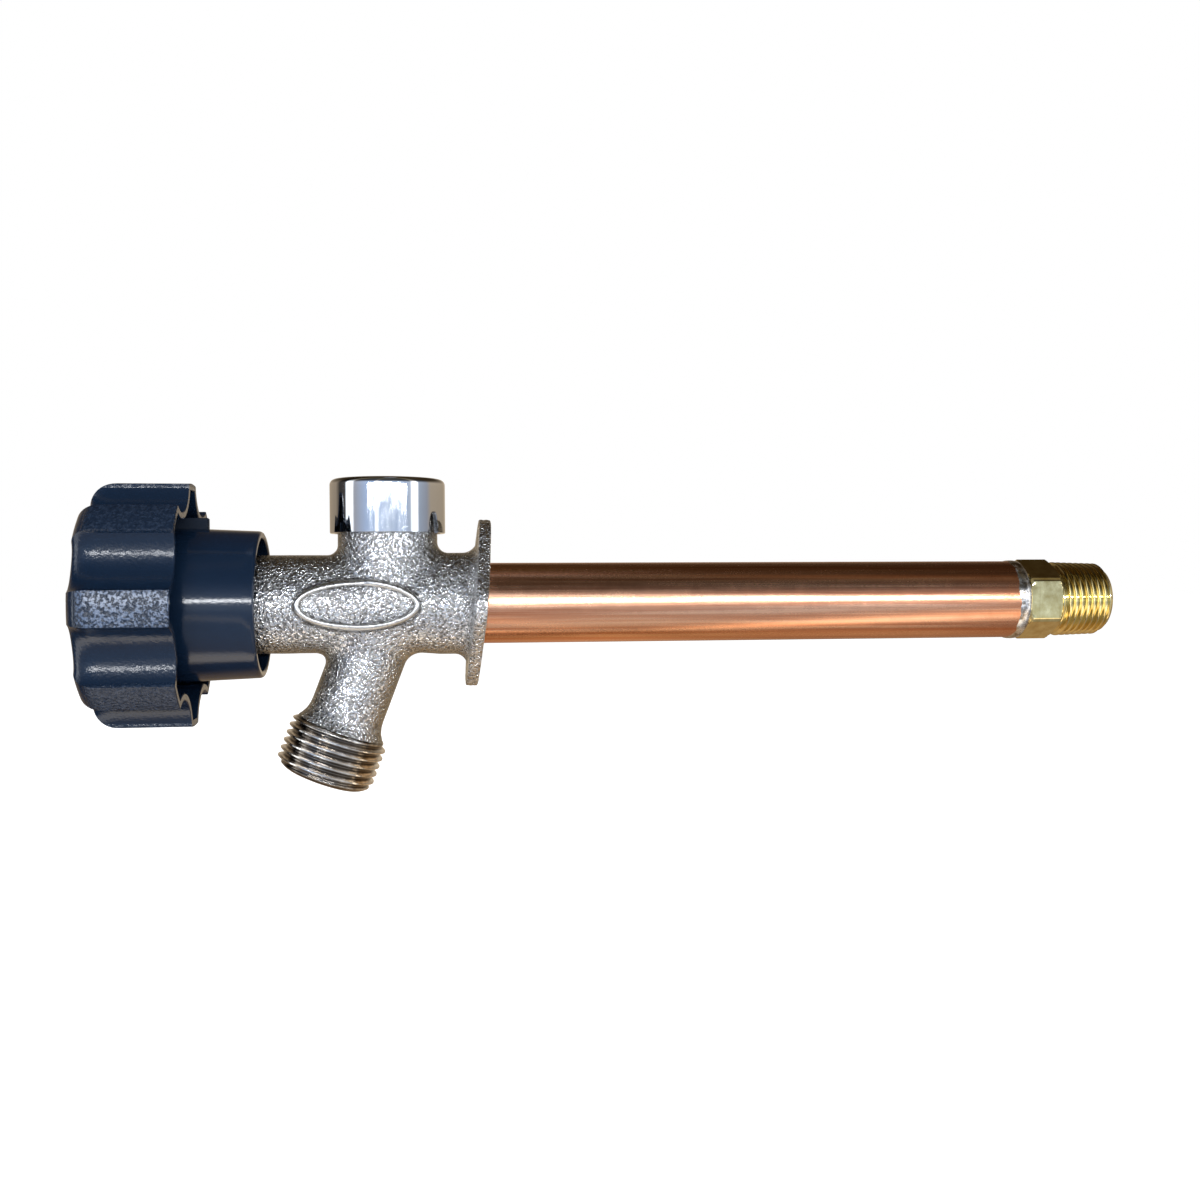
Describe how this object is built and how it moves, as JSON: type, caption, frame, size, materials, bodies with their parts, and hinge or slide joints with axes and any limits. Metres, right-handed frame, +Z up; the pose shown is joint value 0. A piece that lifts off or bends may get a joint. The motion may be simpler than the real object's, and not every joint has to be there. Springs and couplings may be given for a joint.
{
  "type": "frost free sillcock",
  "caption": "Frost free outdoor tap with a lobed knob, top vacuum breaker, slanted hose outlet, wall flange and a long copper tube with a threaded brass inlet.",
  "frame": {"origin": "centre of the wall flange's back face, on the axis of the copper tube", "axes": "+X along the copper tube towards the inlet, indoors; +Z up, towards the vacuum breaker; the knob is at -X"},
  "size_m": [0.2838, 0.065, 0.0855],
  "materials": {
    "nickel_casting": "sand cast brass, nickel plated, pebbled skin",
    "copper": "drawn copper tube, fine lengthwise streaks",
    "braze": "silvery braze alloy",
    "brass_bar": "machined yellow brass",
    "chrome_cap": "polished chrome",
    "knob_plastic": "dark navy moulded plastic, satin, stippled lobe crests",
    "black_rubber": "black rubber",
    "white_plastic": "off white acetal",
    "steel": "plain stainless steel"
  },
  "bodies": {
    "body": {"valve_body": "nickel_casting", "copper_tube": "copper", "body_braze_ring": "braze", "inlet_fitting": "brass_bar", "inlet_braze_ring": "braze", "bonnet": "brass_bar", "bonnet_oring": "black_rubber", "packing_nut": "brass_bar", "packing_washer": "brass_bar", "packing_ring": "black_rubber", "vb_cap": "chrome_cap", "vb_bonnet": "brass_bar", "vb_bonnet_oring": "black_rubber"},
    "seat_disc": {"seat_disc_holder": "brass_bar", "swivel_ring": "steel", "seat_washer": "black_rubber", "seat_screw": "brass_bar"},
    "stem": {"operating_stem": "brass_bar", "stem_guide": "white_plastic", "knob": "knob_plastic", "knob_washer": "steel", "knob_screw": "steel"},
    "vent_float": {"vb_float": "white_plastic", "vb_seal": "black_rubber"}
  },
  "joints": [
    {"name": "stem_travel", "type": "slide", "parent": "body", "child": "seat_disc", "axis": [-1, 0, 0], "range_m": [0, 0.006]},
    {"name": "knob_turn", "type": "hinge", "parent": "seat_disc", "child": "stem", "pos_m": [-0.09, 0, 0], "axis": [-1, 0, 0], "range_deg": [0, 1080]},
    {"name": "float_lift", "type": "slide", "parent": "body", "child": "vent_float", "axis": [0, 0, 1], "range_m": [0, 0.0028]}
  ],
  "couplings": [
    {"joint": "knob_turn", "follows": "stem_travel", "rad_per_m": 3141.6}
  ]
}
